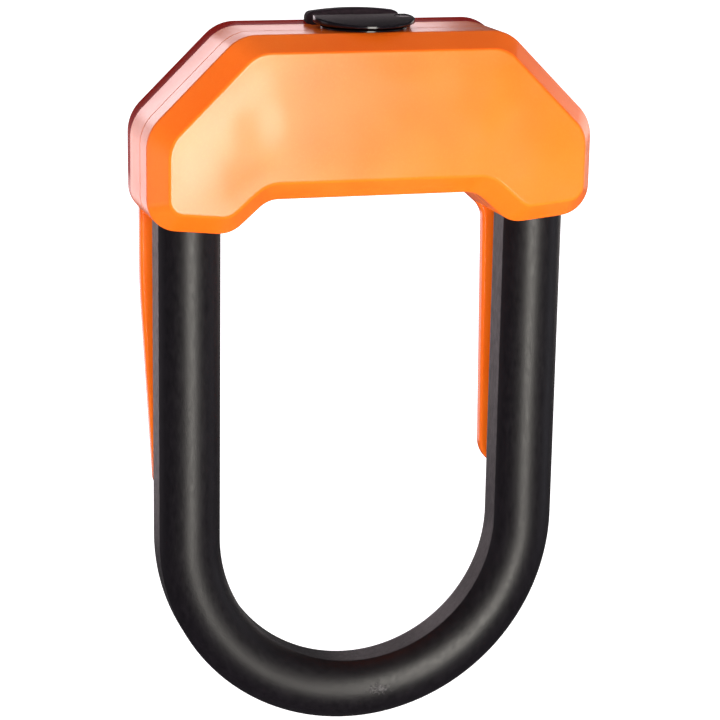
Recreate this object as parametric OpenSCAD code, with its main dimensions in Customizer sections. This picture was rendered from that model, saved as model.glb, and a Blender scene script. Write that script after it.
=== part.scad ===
// U lock: a nylon-cased steel crossbar with a key cylinder in its middle, closed by a
// sleeved U shackle whose two legs are held by two bolts. Two carry prongs hang behind the legs.
// The origin is midway between the legs, in the shackle's plane, at the level of the case's
// underside. X runs along the crossbar, -Y points out of the front face and +Z points up.

/* [Shackle] */
// Distance between the centre lines of the two legs
leg_spacing = 103; // [102:0.5:104]
// Diameter of the hardened bar
bar_d = 14; // [13:0.5:14]
// Width of the sleeve in the plane of the U, across its flats
sleeve_w = 18; // [17:0.5:18]
// Depth of the sleeve across its round front and back
sleeve_depth = 20; // [19:0.5:20]
// Depth of the straight legs below the origin, down to the bend
leg_drop = 94.2; // [80:0.1:130]

/* [Case] */
// Width of the case over its sides
case_w = 130.8; // [130:0.2:134]
// Height of the flat top above the origin
case_top = 53.3; // [53:0.1:54]
// Width of the flat top, between the two sloping shoulders
top_w = 78; // [76:0.5:80]
// Height above the origin at which the shoulders meet the sides
shoulder_z = 27.1; // [26.8:0.1:28]
// Depth in front of the shackle's plane of the flat front face
front_y = 21; // [20.6:0.1:22]
// Depth behind the shackle's plane of the rear face
rear_y = 17; // [17:0.1:18]
// Depth in front of the shackle's plane of the seam between the covers
seam_y = 3.5; // [3:0.1:4]
// Depth in front of the shackle's plane at which the front bevel starts
front_edge = 12.4; // [12:0.1:13]
// How far the front bevel leans in by the front face
front_bevel = 5.3; // [4.8:0.1:5.6]
// How far the rear bevel leans in by the rear face
rear_bevel = 4; // [3:0.1:4]
// Wall thickness of the covers
wall = 3; // [2.6:0.1:3]

/* [Carry prongs] */
// How far the prongs reach below the origin
prong_drop = 84.3; // [60:0.1:86]
// Thickness of each prong
prong_t = 3.8; // [3:0.1:4]

/* [Key cap] */
// Radius of the dust cover that swings over the keyway
cap_r = 14.5; // [14:0.1:14.6]
// Distance from the key axis to the dust cover's pivot
cap_pivot_x = 11.5; // [11.4:0.1:11.6]

/* [Mechanism] */
// Diameter of the locking bolts
bolt_d = 8; // [7:0.5:8]
// Travel of each bolt for a quarter turn of the key
bolt_travel = 6.5; // [6:0.1:6.5]
// Height of the bolt axis above the origin
bolt_z = 17.5; // [17.4:0.1:17.8]
// Number of discs in the key cylinder
disc_count = 8; // [6:1:8]

/* [Hidden] */

$fn = 64;
front_edge_y = -front_edge;
rear_edge_y = rear_y - rear_bevel;
leg_x = leg_spacing / 2;
bar_r = bar_d / 2;
run_gap = 0.05;
fit_gap = 0.05;
far = 60;

orange = "#f28a22";
black = "#1a181c";
steel = "#8e9196";
dark_steel = "#55585e";
brass = "#c9a24a";
nylon = "#d9d6cc";
rubber = "#2a292b";

// Heights through the crossbar and the key cylinder
beam_z0 = 10.5;
beam_z1 = 31;
beam_x = 61;
beam_y = 12;
bar_tip_z = 26.9;
tip_chamfer = 2.4;
bush_t = 0.75;
leg_bore_r = bar_r + bush_t + 2 * fit_gap;
cam_z0 = 20;
cam_z1 = 23;
barrel_z0 = 24;
barrel_z1 = 51.6;
barrel_r = 10.5;
core_r = 6.95;
core_z0 = 26;
core_z1 = 50.6;
disc_r = 5.5;
disc_t = 2;
disc_pitch = 2.35;
disc_z0 = 28.2;
turret_r = 13;
turret_z1 = 47;
cap_z0 = 54.45;
cap_z1 = 56.4;
flange_z1 = 54.3;

// The two cam pins stand this far from the key axis; a quarter turn moves them by bolt_travel
cam_pin_r = 1.5;
cam_orbit = bolt_travel / sqrt(2);
yoke_gap = 0.2;

// Screws through the covers, as [x, z]
upper_screw = [22, 41];
lower_screw = [34, 26.5];
screw_r = 1.5;
boss_r = 3.8;
insert_r = 2.4;
insert_l = 4.5;
head_r = 2.8;
head_seat_y = 14.4;
screw_end_y = -15.6;

// ---- Outline of the case ----

// Right half of the outline as [x, z, corner radius], clockwise from the top
half_corners = [
    [top_w / 2, case_top, 12],
    [case_w / 2, shoulder_z, 12],
    [case_w / 2, 0, 9],
    [41.5, -2.4, 7],
    [30.8, 7.1, 7]];
corners = concat(half_corners, [for (i = [4:-1:0])
    [-half_corners[i].x, half_corners[i].y, half_corners[i].z]]);
arc_steps = 5;

function unit(v) = v / norm(v);
function flat(p) = [p.x, p.y];
function wrap(a) = a > 180 ? a - 360 : a < -180 ? a + 360 : a;
function right_of(v) = [v.y, -v.x];
function at(list, i) = list[(i + len(list)) % len(list)];

// Moves every edge inwards by d and adjusts the corner radii
function inset(list, d) = [for (i = [0:len(list) - 1])
    let (p = flat(list[i]),
        n1 = right_of(unit(p - flat(at(list, i - 1)))),
        n2 = right_of(unit(flat(at(list, i + 1)) - p)),
        turn = n1.x * n2.y - n1.y * n2.x,
        q = p + (n1 + n2) * d / (1 + n1 * n2))
    [q.x, q.y, max(1.2, list[i].z + (turn > 0 ? d : -d))]];

// Points of one rounded corner
function corner_arc(p0, p1, p2, r) =
    let (d1 = unit(p0 - p1),
        d2 = unit(p2 - p1),
        half = acos(d1 * d2) / 2,
        c = p1 + unit(d1 + d2) * r / sin(half),
        s = p1 + d1 * r / tan(half) - c,
        e = p1 + d2 * r / tan(half) - c,
        a0 = atan2(s.y, s.x),
        sweep = wrap(atan2(e.y, e.x) - a0))
    [for (k = [0:arc_steps]) c + r * [cos(a0 + sweep * k / arc_steps), sin(a0 + sweep * k / arc_steps)]];

// A corner with no radius stays sharp
function rounded(list) = [for (i = [0:len(list) - 1])
    each list[i].z == 0 ? [flat(list[i])]
        : corner_arc(flat(at(list, i - 1)), flat(list[i]), flat(at(list, i + 1)), list[i].z)];

// Block that planes off one edge of the outline, from nothing at depth edge_y to drop at face_y
module bevel_block(p0, p1, edge_y, face_y, drop) {
    run = p1 - p0;
    side = face_y < edge_y ? 1 : -1;
    lean = atan(drop / abs(face_y - edge_y));
    translate([p0.x, edge_y, p0.y]) rotate([0, -atan2(run.y, run.x), 0]) rotate([side * lean, 0, 0])
        translate([-far, side > 0 ? -far : -5, 0]) cube([norm(run) + 2 * far, far + 5, far]);
}

// Convex prism from depth y0 to y1; bevels are [edge_y, face_y, drop], cut along the numbered edges
module convex_part(list, edges, y0, y1, bevels) {
    difference() {
        slab(y0, y1) polygon(rounded(list));
        for (e = edges) for (b = bevels)
            bevel_block(flat(list[e]), flat(at(list, e + 1)), b[0], b[1], b[2]);
    }
}

// Solid of the case outline, inset by d, from depth y0 to y1
module case_form(d, y0, y1, bevels = []) {
    c = inset(corners, d);
    past_middle = flat(c[4]) + unit(flat(c[4]) - flat(c[3])) * 45;
    both_sides() convex_part([c[0], c[1], c[2], c[3], [past_middle.x, past_middle.y, 0],
        [past_middle.x, c[0].y, 0]], [0, 1, 2, 3, 5], y0, y1, bevels);
    middle_x = c[4].x + 4;
    // The lower bevel starts slightly off the others, so that no four faces meet in one point
    bevel_step = -0.1;
    difference() {
        convex_part([[-28, c[0].y, 0], [28, c[0].y, 0], [middle_x, c[4].y, 0], [-middle_x, c[4].y, 0]],
            [0], y0, y1, bevels);
        for (b = bevels)
            bevel_block([middle_x, c[4].y], [-middle_x, c[4].y], b[0] + bevel_step, b[1], b[2]);
    }
}

// Extrudes a drawing made in the XZ plane from depth y0 to depth y1
module slab(y0, y1) {
    translate([0, y1, 0]) rotate([90, 0, 0]) linear_extrude(y1 - y0) children();
}

// Cylinder along Y from depth y0 to depth y1
module rod_y(x, z, r, y0, y1) {
    translate([x, y1, z]) rotate([90, 0, 0]) cylinder(h = y1 - y0, r = r);
}

// Tube on the Z axis
module tube(z0, z1, r_out, r_in) {
    translate([0, 0, z0]) difference() {
        cylinder(h = z1 - z0, r = r_out);
        translate([0, 0, -1]) cylinder(h = z1 - z0 + 2, r = r_in);
    }
}

module both_sides() {
    children();
    mirror([1, 0, 0]) children();
}

// ---- Shackle ----

module sleeve_section(grow = 0) {
    intersection() {
        circle(r = sleeve_depth / 2 + grow);
        square([sleeve_w + 2 * grow, sleeve_depth + 4], center = true);
    }
}

// Sweeps a section down both legs and round the bend
module along_u(leg_top) {
    both_sides() translate([leg_x, 0, -leg_drop]) linear_extrude(leg_top + leg_drop) children();
    translate([0, 0, -leg_drop]) rotate([-90, 0, 0])
        rotate_extrude(angle = 180) translate([leg_x, 0]) children();
}

module bolt_notch() {
    reach = 5;
    tall = bolt_d + 0.6;
    translate([leg_x - bar_r - 1, -bar_r - 1, bolt_z - tall / 2]) cube([reach + 1, bar_d + 2, tall]);
}

module shackle_bar() {
    color(steel) difference() {
        union() {
            along_u(bar_tip_z - tip_chamfer) circle(r = bar_r);
            both_sides() translate([leg_x, 0, bar_tip_z - tip_chamfer])
                cylinder(h = tip_chamfer, r1 = bar_r, r2 = bar_r - tip_chamfer);
        }
        both_sides() bolt_notch();
    }
}

module shackle_sleeve() {
    sleeve_top = 4;
    color(black) along_u(sleeve_top) difference() {
        sleeve_section();
        circle(r = bar_r + fit_gap);
    }
}

// ---- Case ----

module leg_mouths() {
    mouth_gap = 0.35;
    both_sides() translate([leg_x, 0, -10]) linear_extrude(20) sleeve_section(mouth_gap);
}

// Opening in the top for the keyhole bezel, with a lobe for the dust cover's pivot boss
module bezel_hole() {
    translate([0, 0, 45]) cylinder(h = 20, r = 11.5);
    translate([cap_pivot_x, 0, 45]) cylinder(h = 20, r = 2.4);
}

module front_cover() {
    color(orange) difference() {
        union() {
            difference() {
                case_form(0, -front_y, -seam_y, [[front_edge_y, -front_y, front_bevel]]);
                case_form(wall, wall - front_y, 0, [[front_edge_y + 1, wall - front_y,
                    front_bevel * (front_y + front_edge_y - wall + 1) / (front_y + front_edge_y)]]);
                case_form(wall / 2 - fit_gap, -seam_y - 2.6, 1);
            }
            both_sides() rod_y(upper_screw.x, upper_screw.y, boss_r, -front_y + 2, -seam_y - fit_gap);
            both_sides() rod_y(lower_screw.x, lower_screw.y, boss_r, -front_y + 2, -beam_y - fit_gap);
        }
        leg_mouths();
        bezel_hole();
        both_sides() {
            rod_y(upper_screw.x, upper_screw.y, screw_r + 0.3, screw_end_y - 0.5, 0);
            rod_y(upper_screw.x, upper_screw.y, insert_r + fit_gap, -seam_y - insert_l - 0.6, 0);
            rod_y(lower_screw.x, lower_screw.y, insert_r + fit_gap, -beam_y - insert_l - 0.6, 0);
        }
    }
}

module prong() {
    corners_of_prong = [
        [42.3, 9, 0.5],
        [62, 9, 0.5],
        [62, -22, 300],
        [58.2, -prong_drop, 4.5],
        [43.7, -prong_drop, 8.8]];
    slab(rear_y - 0.2 - prong_t, rear_y - 0.2) polygon(rounded(corners_of_prong));
}

module rear_cover() {
    inner_y = rear_y - wall;
    color(orange) difference() {
        union() {
            difference() {
                union() {
                    case_form(0, -seam_y, rear_y, [[rear_edge_y, rear_y, rear_bevel]]);
                    case_form(wall / 2, -seam_y - 2.5, 0);
                }
                case_form(wall, -seam_y - 5, inner_y, [[inner_y - 1.5, inner_y, 1.5]]);
            }
            both_sides() prong();
            both_sides() rod_y(upper_screw.x, upper_screw.y, boss_r, -seam_y, inner_y + 1);
            both_sides() rod_y(lower_screw.x, lower_screw.y, boss_r, beam_y + fit_gap, inner_y + 1);
        }
        leg_mouths();
        bezel_hole();
        translate([-13.1, 8, 51.5]) cube([26.2, 20, 20]);
        for (p = [upper_screw, lower_screw]) both_sides() {
            rod_y(p.x, p.y, screw_r + 0.3, -far, far);
            rod_y(p.x, p.y, head_r + 0.4, head_seat_y, far);
        }
    }
}

module cover_screws() {
    color(dark_steel) for (p = [upper_screw, lower_screw]) both_sides() difference() {
        union() {
            rod_y(p.x, p.y, screw_r, screw_end_y, head_seat_y + 1);
            rod_y(p.x, p.y, head_r, head_seat_y, head_seat_y + 2);
        }
        translate([p.x, head_seat_y + 3, p.y]) rotate([90, 0, 0]) cylinder(h = 2.2, r = 1.2, $fn = 6);
    }
}

module insert_at(p, y1) {
    difference() {
        rod_y(p.x, p.y, insert_r, y1 - insert_l, y1);
        rod_y(p.x, p.y, screw_r + 0.02, y1 - insert_l - 1, y1 + 1);
    }
}

module screw_inserts() {
    color(brass) both_sides() {
        insert_at(upper_screw, -seam_y - 0.5);
        insert_at(lower_screw, -beam_y - 0.5);
    }
}

// ---- Crossbar ----

// Bore for one leg, with a tapered blind end
module leg_bore() {
    translate([leg_x, 0, beam_z0 - 1]) cylinder(h = bar_tip_z - tip_chamfer + 0.1 - beam_z0 + 1, r = leg_bore_r);
    translate([leg_x, 0, bar_tip_z - tip_chamfer + 0.1 - 0.01])
        cylinder(h = tip_chamfer + 0.3, r1 = leg_bore_r, r2 = leg_bore_r - tip_chamfer - 0.3);
}

pocket_x = 12;
pocket_y = 8.6;
plate_x = 15;
plate_y = 9.9;
plate_z1 = 12.9;
plate_screw_x = 13.6;
plate_screw_y = 7.5;

module crossbar() {
    color(dark_steel) difference() {
        union() {
            slab(-beam_y, beam_y) polygon([
                [-beam_x, beam_z0], [beam_x, beam_z0], [beam_x, 24.5],
                [54.5, beam_z1], [-54.5, beam_z1], [-beam_x, 24.5]]);
            translate([0, 0, beam_z1 - 4]) cylinder(h = turret_z1 - beam_z1 + 4, r = turret_r);
        }
        both_sides() leg_bore();
        // Channel for the bolts, straight through both leg bores
        translate([-leg_x, 0, bolt_z]) rotate([0, 90, 0])
            cylinder(h = leg_spacing, r = bolt_d / 2 + run_gap);
        // Pocket for the cam and the bolt tails, closed from below by the base plate
        translate([-pocket_x, -pocket_y, beam_z0]) cube([2 * pocket_x, 2 * pocket_y, 19.8 - beam_z0]);
        translate([-plate_x - 0.1, -plate_y - 0.1, beam_z0 - 1])
            cube([2 * plate_x + 0.2, 2 * plate_y + 0.2, plate_z1 - beam_z0 + 1]);
        translate([0, 0, 19]) cylinder(h = barrel_z0 - 19, r = pocket_y);
        translate([0, 0, barrel_z0]) cylinder(h = far, r = barrel_r + fit_gap);
        both_sides() translate([7.5, 0, 40]) rotate([0, 90, 0]) cylinder(h = 8, r = screw_r + fit_gap);
        both_sides() rod_y(lower_screw.x, lower_screw.y, screw_r + 0.3, -far, far);
        for (y = [-plate_screw_y, plate_screw_y]) both_sides()
            translate([plate_screw_x, y, beam_z0]) cylinder(h = 7.6, r = 1.05);
    }
}

module base_plate() {
    color(steel) difference() {
        translate([-plate_x, -plate_y, beam_z0 + 0.1])
            cube([2 * plate_x, 2 * plate_y, plate_z1 - beam_z0 - 0.1]);
        for (y = [-plate_screw_y, plate_screw_y]) both_sides() {
            translate([plate_screw_x, y, 0]) cylinder(h = 20, r = 1.1);
            translate([plate_screw_x, y, 0]) cylinder(h = beam_z0 + 1.2, r = 1.5);
        }
    }
}

module plate_screws() {
    color(dark_steel) for (y = [-plate_screw_y, plate_screw_y]) both_sides() translate([plate_screw_x, y, 0]) {
        translate([0, 0, beam_z0 + 0.2]) cylinder(h = 1, r = 1.45);
        translate([0, 0, beam_z0 + 0.3]) cylinder(h = 7, r = 1);
    }
}

module leg_bush() {
    color(nylon) difference() {
        translate([leg_x, 0, 0])
            tube(beam_z0 + 0.1, bar_tip_z - tip_chamfer, bar_r + bush_t, bar_r + run_gap);
        translate([leg_x - bar_r - 5, 0, bolt_z]) rotate([0, 90, 0]) cylinder(h = bar_d, r = bolt_d / 2 + 0.2);
    }
}

module leg_bush_right() {
    leg_bush();
}

module leg_bush_left() {
    mirror([1, 0, 0]) leg_bush();
}

module leg_seal() {
    color(rubber) translate([leg_x, 0, 0]) {
        tube(6.4, beam_z0 - 0.05, 9.4, bar_r + run_gap);
        tube(4.6, 6.5, 8.2, bar_r + run_gap);
    }
}

module leg_seal_right() {
    leg_seal();
}

module leg_seal_left() {
    mirror([1, 0, 0]) leg_seal();
}

// ---- Bolts and cam ----

// One bolt in its drawn-back place: a round nose, a narrow neck and a slotted yoke on the cam
module bolt() {
    nose_x0 = 13.4;
    nose_x1 = leg_x - leg_bore_r - 0.9;
    yoke_x = -cam_orbit / sqrt(2);
    slot_half = cam_pin_r + yoke_gap;
    yoke_z0 = bolt_z - 2;
    color(steel) difference() {
        union() {
            translate([nose_x0, 0, bolt_z]) rotate([0, 90, 0]) cylinder(h = nose_x1 - 0.8 - nose_x0, r = bolt_d / 2);
            translate([nose_x1 - 0.8, 0, bolt_z]) rotate([0, 90, 0])
                cylinder(h = 0.8, r1 = bolt_d / 2, r2 = bolt_d / 2 - 0.8);
            translate([yoke_x, 0.4, yoke_z0]) cube([nose_x0 + 1 - yoke_x, 2.8, 4]);
            translate([yoke_x - slot_half - 2, 0.4, yoke_z0]) cube([2 * slot_half + 4, 7.6, 4]);
        }
        translate([yoke_x - slot_half, 1.4, yoke_z0 - 1]) cube([2 * slot_half, 5.1, 6]);
    }
}

module bolt_right() {
    bolt();
}

module bolt_left() {
    rotate([0, 0, 180]) bolt();
}

// D-shaped shaft that turns the cam
module drive_shaft(r, z0, z1) {
    translate([0, 0, z0]) intersection() {
        cylinder(h = z1 - z0, r = r);
        translate([-r, -r, 0]) cube([2 * r, 2 * r - 1.4, z1 - z0]);
    }
}

module drive_cam() {
    color(steel) {
        difference() {
            translate([0, 0, cam_z0]) cylinder(h = cam_z1 - cam_z0, r = 8.3);
            drive_shaft(4.4 + fit_gap, cam_z0 + 0.8, cam_z1 + 1);
        }
        for (a = [135, 315]) rotate([0, 0, a]) translate([cam_orbit, 0, bolt_z - 2.1])
            cylinder(h = cam_z0 - bolt_z + 2.6, r = cam_pin_r);
    }
}

// ---- Key cylinder ----

module keyway(width = 0) {
    intersection() {
        circle(r = 3.3 + width);
        translate([-1.6 - width, -5]) square([3.2 + 2 * width, 10]);
    }
}

module lock_cylinder() {
    color(brass) difference() {
        translate([0, 0, barrel_z0]) cylinder(h = barrel_z1 - barrel_z0, r = barrel_r);
        translate([0, 0, barrel_z0 - 1]) cylinder(h = far, r = 5.97);
        translate([0, 0, core_z0]) cylinder(h = far, r = core_r + run_gap);
        translate([-1, 0, disc_z0]) cube([2, 8, 20]);
        both_sides() translate([8, 0, 40]) rotate([0, 90, 0]) cylinder(h = 8, r = screw_r + fit_gap);
    }
}

module cylinder_pins() {
    color(steel) both_sides() translate([8.2, 0, 40]) rotate([0, 90, 0]) cylinder(h = 4.6, r = screw_r);
}

module cylinder_core() {
    color(brass) difference() {
        union() {
            translate([0, 0, core_z0 + 0.05]) cylinder(h = core_z1 - core_z0 - 0.05, r = core_r);
            translate([0, 0, barrel_z0 - 0.05]) cylinder(h = 3, r = 5.9);
            translate([0, 0, cam_z1 + 0.1]) cylinder(h = 2, r = 4.5);
            drive_shaft(4.4, cam_z0 + 0.9, cam_z1 + 1);
        }
        translate([0, 0, disc_z0 - 0.1]) cylinder(h = far, r = disc_r + 0.1);
        translate([-0.95, 4.9, disc_z0 + 0.3]) cube([1.9, 3, 18.5]);
    }
}

module core_clip() {
    color(dark_steel) difference() {
        tube(cam_z1 + 0.2, barrel_z0 - 0.15, 6.8, 4.55);
        translate([0, -3, cam_z1]) cube([10, 6, 2]);
    }
}

// Notch on the rim of each disc, where the sidebar drops in
module sidebar_notch() {
    translate([0, 6, 0]) circle(r = 0.96);
}

module lock_discs() {
    color(steel) for (i = [0:disc_count - 1]) translate([0, 0, disc_z0 + i * disc_pitch])
        linear_extrude(disc_t) difference() {
            circle(r = disc_r);
            keyway();
            sidebar_notch();
        }
}

module disc_spacers() {
    gap = 0.02;
    color(nylon) for (i = [1:disc_count - 1])
        translate([0, 0, disc_z0 + i * disc_pitch - (disc_pitch - disc_t) + gap])
        linear_extrude(disc_pitch - disc_t - 2 * gap) difference() {
            circle(r = disc_r);
            circle(r = 3.8);
            sidebar_notch();
        }
}

module drill_plate() {
    color(steel) translate([0, 0, 47.4]) linear_extrude(2.8) difference() {
        circle(r = disc_r);
        keyway(0.2);
    }
}

module sidebar() {
    color(steel) translate([0, 6, disc_z0 + 0.5]) cylinder(h = 18, r = 0.9);
}

// ---- Key cap ----

hood_y0 = 8.1;
hood_y1 = 14.8;
hood_x = 13;
cap_flat_y = 7.6;

module bezel_hood() {
    crown_r = 90;
    intersection() {
        slab(hood_y0, hood_y1) intersection() {
            translate([-hood_x, 51.6]) square([2 * hood_x, 10]);
            translate([0, 57.6 - crown_r]) circle(r = crown_r, $fn = 200);
        }
        translate([0, 0, 50]) linear_extrude(10) hull() both_sides() {
            translate([hood_x - 2.5, hood_y0 + 2.5]) circle(r = 2.5, $fn = 32);
            translate([hood_x - 1, hood_y1 - 1]) circle(r = 1, $fn = 32);
        }
    }
}

module keyhole_bezel() {
    lift = case_top + fit_gap;
    color(black) difference() {
        union() {
            translate([0, 0, lift]) cylinder(h = flange_z1 - lift, r = 13);
            tube(turret_z1 + 0.2, lift + 0.1, 11.4, barrel_r + 0.1);
            translate([0, 0, barrel_z1 + 0.2]) cylinder(h = flange_z1 - barrel_z1 - 0.2, r = 11.4);
            translate([cap_pivot_x, 0, 50.4]) cylinder(h = flange_z1 - 50.4, r = 2.3);
            bezel_hood();
        }
        translate([0, 0, 50]) cylinder(h = 10, r = 6);
        translate([0, 0, 40]) cylinder(h = barrel_z1 + 0.2 - 40, r = barrel_r + 0.1);
        translate([cap_pivot_x, 0, barrel_z1]) cylinder(h = 10, r = 1.4 + fit_gap);
        translate([cap_pivot_x, 0, flange_z1 - 0.3]) cylinder(h = 1, r = 2.75);
    }
}

module dust_cover() {
    edge = 0.6;
    color(black) difference() {
        union() {
            translate([0, 0, cap_z0]) cylinder(h = cap_z1 - edge - cap_z0, r = cap_r);
            translate([0, 0, cap_z1 - edge]) cylinder(h = edge, r1 = cap_r, r2 = cap_r - edge);
        }
        translate([-20, cap_flat_y, 50]) cube([40, 20, 10]);
        translate([cap_pivot_x, 0, 50]) cylinder(h = 10, r = 1.45);
        translate([cap_pivot_x, 0, cap_z1 - 0.8]) cylinder(h = 2, r = 2.4);
    }
}

module dust_cover_rivet() {
    foot_z = barrel_z1 + 0.1;
    color(steel) translate([cap_pivot_x, 0, 0]) {
        translate([0, 0, foot_z]) cylinder(h = cap_z1 - 0.4 - foot_z, r = 1.4);
        translate([0, 0, cap_z1 - 0.75]) cylinder(h = 0.65, r = 2.3);
    }
}

module dust_cover_washer() {
    color(steel) translate([cap_pivot_x, 0, 0]) tube(flange_z1 - 0.27, cap_z0 - 0.03, 2.7, 1.43);
}

front_cover();
rear_cover();
crossbar();
base_plate();
plate_screws();
leg_bush_left();
leg_bush_right();
leg_seal_left();
leg_seal_right();
bolt_left();
bolt_right();
lock_cylinder();
cylinder_pins();
cylinder_core();
core_clip();
drive_cam();
lock_discs();
disc_spacers();
drill_plate();
sidebar();
keyhole_bezel();
dust_cover();
dust_cover_rivet();
dust_cover_washer();
cover_screws();
screw_inserts();
shackle_bar();
shackle_sleeve();
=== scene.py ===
"""U lock with a nylon case: the looks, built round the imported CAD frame.

Lengths in the building code are millimetres in the CAD frame: X along the crossbar, -Y out of
the front face, +Z up, origin midway between the legs at the level of the case's underside.
"""

import math

import bmesh
import bpy
import numpy as np
from mathutils import Matrix, Vector
from mathutils.geometry import delaunay_2d_cdt


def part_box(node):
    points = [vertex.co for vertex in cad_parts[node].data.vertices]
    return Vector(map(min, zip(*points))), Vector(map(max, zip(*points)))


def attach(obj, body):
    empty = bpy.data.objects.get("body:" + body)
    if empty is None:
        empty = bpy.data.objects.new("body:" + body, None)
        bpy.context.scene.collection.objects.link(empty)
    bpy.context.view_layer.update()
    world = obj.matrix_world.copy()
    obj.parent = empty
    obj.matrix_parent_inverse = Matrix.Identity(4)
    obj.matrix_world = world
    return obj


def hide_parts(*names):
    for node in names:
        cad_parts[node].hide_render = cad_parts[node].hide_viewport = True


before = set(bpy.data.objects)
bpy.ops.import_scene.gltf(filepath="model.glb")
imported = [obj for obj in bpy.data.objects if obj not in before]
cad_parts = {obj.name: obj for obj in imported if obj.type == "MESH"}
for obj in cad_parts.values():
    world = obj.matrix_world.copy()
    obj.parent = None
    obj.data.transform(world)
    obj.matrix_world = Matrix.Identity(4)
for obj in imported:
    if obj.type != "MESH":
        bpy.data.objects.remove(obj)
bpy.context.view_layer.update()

MM = 0.001


def cad_mm(node):
    """Lowest and highest corner of a CAD node, in millimetres."""
    low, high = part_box(node)
    return low / MM, high / MM


# ---- Driving sizes, read from the frame ----

case_low, case_high = cad_mm("front_cover")
rear_low, rear_high = cad_mm("rear_cover")
sleeve_low, sleeve_high = cad_mm("shackle_sleeve")
cap_low, cap_high = cad_mm("dust_cover")
bezel_high = cad_mm("keyhole_bezel")[1]

HALF_W = case_high.x
TOP_Z = case_high.z
FRONT_Y = case_low.y
REAR_Y = rear_high.y
PRONG_Z = rear_low.z
SEAM_Y = -3.5
SEAM_ROUND = 0.22
WALL = 3.0
# The covers meet in a step: the front one's tongue goes into the rear one's rebate
STEP_DEPTH = 2.5
STEP_GAP = 0.05
SLEEVE_DEPTH = sleeve_high.y - sleeve_low.y
SLEEVE_W = 18.0
LEG_X = sleeve_high.x - SLEEVE_W / 2
SLEEVE_TOP = sleeve_high.z
BEND_Z = sleeve_low.z + LEG_X + SLEEVE_W / 2
BAR_R = 7.0
BAR_FIT = 0.05

# ---- Plane geometry ----


def unit(v):
    return v / np.linalg.norm(v)


def direction(angle):
    return np.array([math.cos(angle), math.sin(angle)])


def corner_arc(p0, p1, p2, radius, steps):
    """Points of the arc that rounds corner p1, from its side towards p0 to its side towards p2."""
    d1, d2 = unit(p0 - p1), unit(p2 - p1)
    half = math.acos(max(-1.0, min(1.0, float(d1 @ d2)))) / 2
    if radius <= 0 or half > math.pi / 2 - 1e-4:
        return [p1.copy() for _ in range(steps + 1)]
    centre = p1 + unit(d1 + d2) * radius / math.sin(half)
    s = p1 + d1 * radius / math.tan(half) - centre
    e = p1 + d2 * radius / math.tan(half) - centre
    a0 = math.atan2(s[1], s[0])
    sweep = math.remainder(math.atan2(e[1], e[0]) - a0, 2 * math.pi)
    return [centre + radius * direction(a0 + sweep * k / steps) for k in range(steps + 1)]


def rounded(points, steps=8, closed=True):
    """Rounds a list of (x, y, radius); an open list keeps its two ends."""
    flat = [np.array(p[:2], float) for p in points]
    out = []
    count = len(points)
    for i, p in enumerate(points):
        if p[2] == 0 or (not closed and i in (0, count - 1)):
            out.append(flat[i])
        else:
            out += corner_arc(flat[i - 1], flat[i], flat[(i + 1) % count], p[2], steps)
    return out


def subdivide(ring, longest):
    """Adds points to a closed ring so that no edge is longer than longest."""
    out = []
    for i, p in enumerate(ring):
        q = ring[(i + 1) % len(ring)]
        parts = max(1, math.ceil(np.linalg.norm(q - p) / longest))
        out += [p + (q - p) * k / parts for k in range(parts)]
    return out


# Right half of the case outline: x, z, corner radius at the outer edge and at the face's edge
HALF_OUTLINE = [
    (39.0, TOP_Z, 12.0, 10.0),
    (HALF_W, 27.1, 12.0, 9.5),
    (HALF_W, 0.0, 9.0, 4.5),
    (41.5, -2.4, 9.0, 5.5),
    (30.8, 7.1, 8.0, 10.5)]
OUTLINE = HALF_OUTLINE + [(-x, z, r, f) for x, z, r, f in reversed(HALF_OUTLINE)]
FACE_INSET = 5.3
# For the edge that starts at each corner: its share of the bevel, and of the rear rim's lip
HALF_BEVEL = [0.96, 0.89, 1.12, 1.12, 1.12]
HALF_LIP = [0.8, -0.25, 0.0, 0.0, 0.0]
BEVEL_SHARE = HALF_BEVEL + HALF_BEVEL[-2::-1] + [0.79]
LIP_SHARE = HALF_LIP + HALF_LIP[-2::-1] + [1.0]


def case_ring(inset, lip=0.0, arc_steps=12, edge_steps=10):
    """The case outline moved inwards, always with the same number of points."""
    count = len(OUTLINE)
    pts = [np.array(c[:2], float) for c in OUTLINE]
    moved = []
    for i in range(count):
        before, here, after = pts[i - 1], pts[i], pts[(i + 1) % count]
        e1, e2 = unit(here - before), unit(after - here)
        normals = np.array([[e1[1], -e1[0]], [e2[1], -e2[0]]])
        shift = [inset * BEVEL_SHARE[k] - lip * LIP_SHARE[k] for k in (i - 1, i)]
        moved.append(here + np.linalg.solve(normals, shift))
    share = min(1.3, inset / FACE_INSET)
    out = []
    for i in range(count):
        radius = max(1.0, OUTLINE[i][2] + (OUTLINE[i][3] - OUTLINE[i][2]) * share)
        out.append(corner_arc(moved[i - 1], moved[i], moved[(i + 1) % count], radius, arc_steps))
    ring = []
    for i, arc in enumerate(out):
        ring += arc
        start, end = arc[-1], out[(i + 1) % count][0]
        ring += [start + (end - start) * k / edge_steps for k in range(1, edge_steps)]
    return ring


# ---- Meshes ----


def finish_mesh(name, bm, sharp_deg=32, weld=1e-4):
    """Turns a bmesh in millimetres into an object with clean shading."""
    if weld:
        bmesh.ops.remove_doubles(bm, verts=bm.verts, dist=weld)
    bmesh.ops.recalc_face_normals(bm, faces=bm.faces)
    bmesh.ops.scale(bm, vec=(MM, MM, MM), verts=bm.verts)
    mesh = bpy.data.meshes.new(name)
    bm.to_mesh(mesh)
    bm.free()
    obj = bpy.data.objects.new(name, mesh)
    bpy.context.scene.collection.objects.link(obj)
    shade(obj, sharp_deg)
    return obj


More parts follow.
